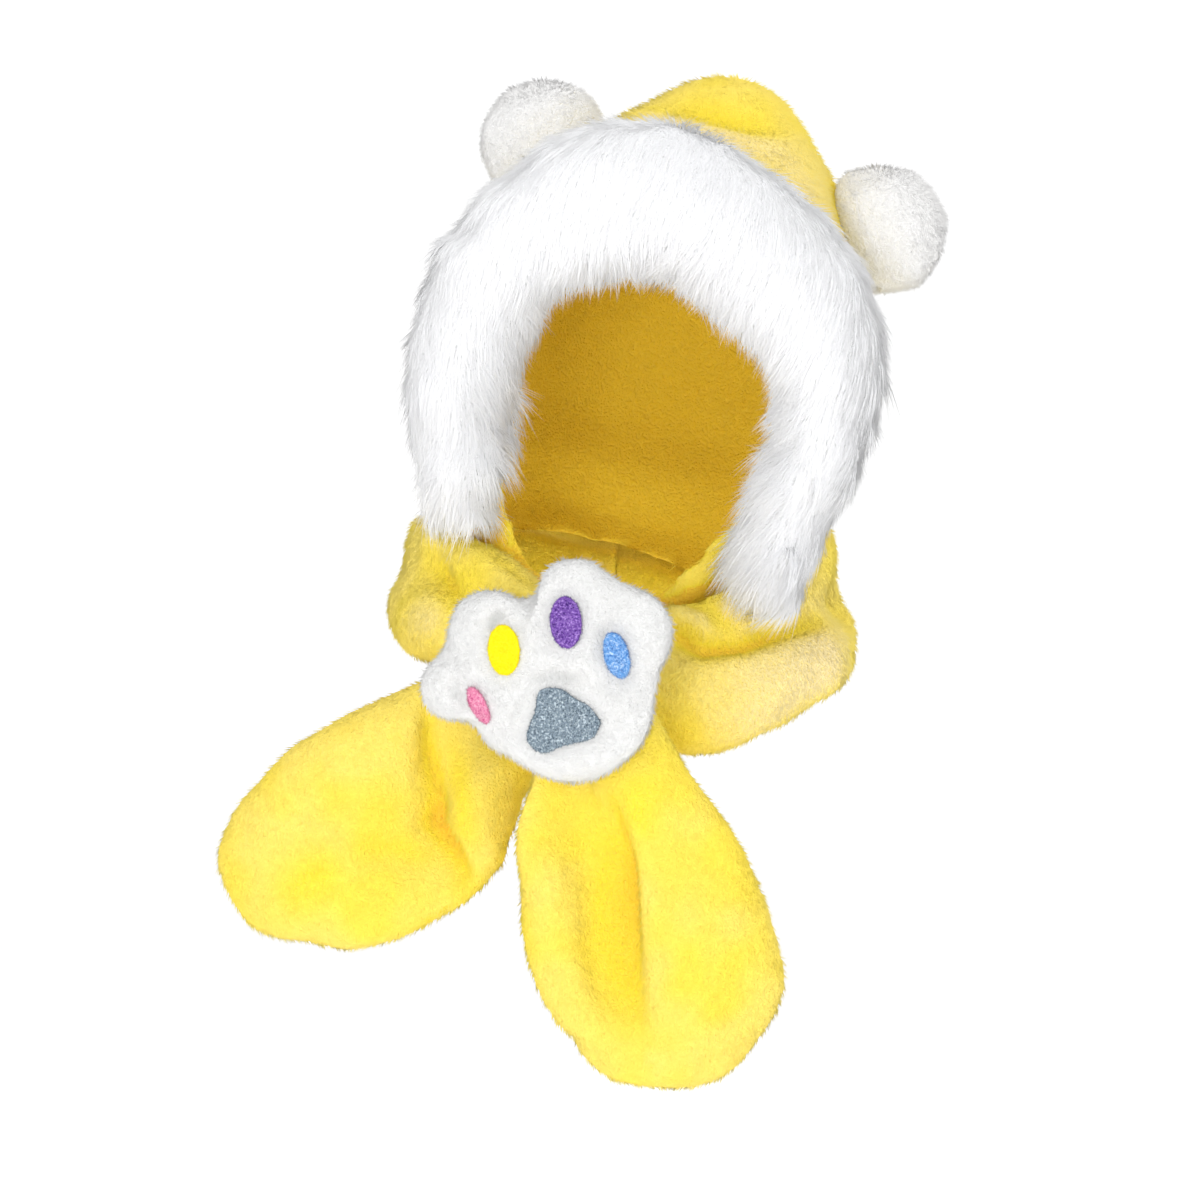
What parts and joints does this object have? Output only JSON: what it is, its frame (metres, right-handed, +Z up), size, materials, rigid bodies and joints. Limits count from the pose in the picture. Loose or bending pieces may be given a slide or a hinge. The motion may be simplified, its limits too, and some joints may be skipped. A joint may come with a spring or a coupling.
{
  "type": "hood scarf",
  "caption": "Child's yellow plush hood scarf with a white fur brim, two ball ears, a paw patch with coloured pads at the throat and two hanging padded tails.",
  "frame": {"origin": "top of the hollow inside the hood, where the crown of the head sits", "axes": "+Z up, +X to the right seen from the front, +Y towards the back of the head; the hood is tilted as it is worn"},
  "size_m": [0.2986, 0.2455, 0.4128],
  "materials": {
    "yellow_plush": "matte",
    "white_fur": "matte",
    "white_plush": "matte",
    "pink_pad": "matte",
    "yellow_pad": "matte",
    "purple_pad": "matte",
    "blue_pad": "matte",
    "grey_pad": "matte"
  },
  "bodies": {
    "root": {"hood_shell": "yellow_plush", "fur_brim": "white_fur", "ear_left": "white_plush", "ear_right": "white_plush", "scarf_under": "yellow_plush", "scarf_over": "yellow_plush", "paw_patch": "white_plush", "outer_toe_pad": "pink_pad", "second_toe_pad": "yellow_pad", "third_toe_pad": "purple_pad", "inner_toe_pad": "blue_pad", "palm_pad": "grey_pad"}
  },
  "joints": []
}
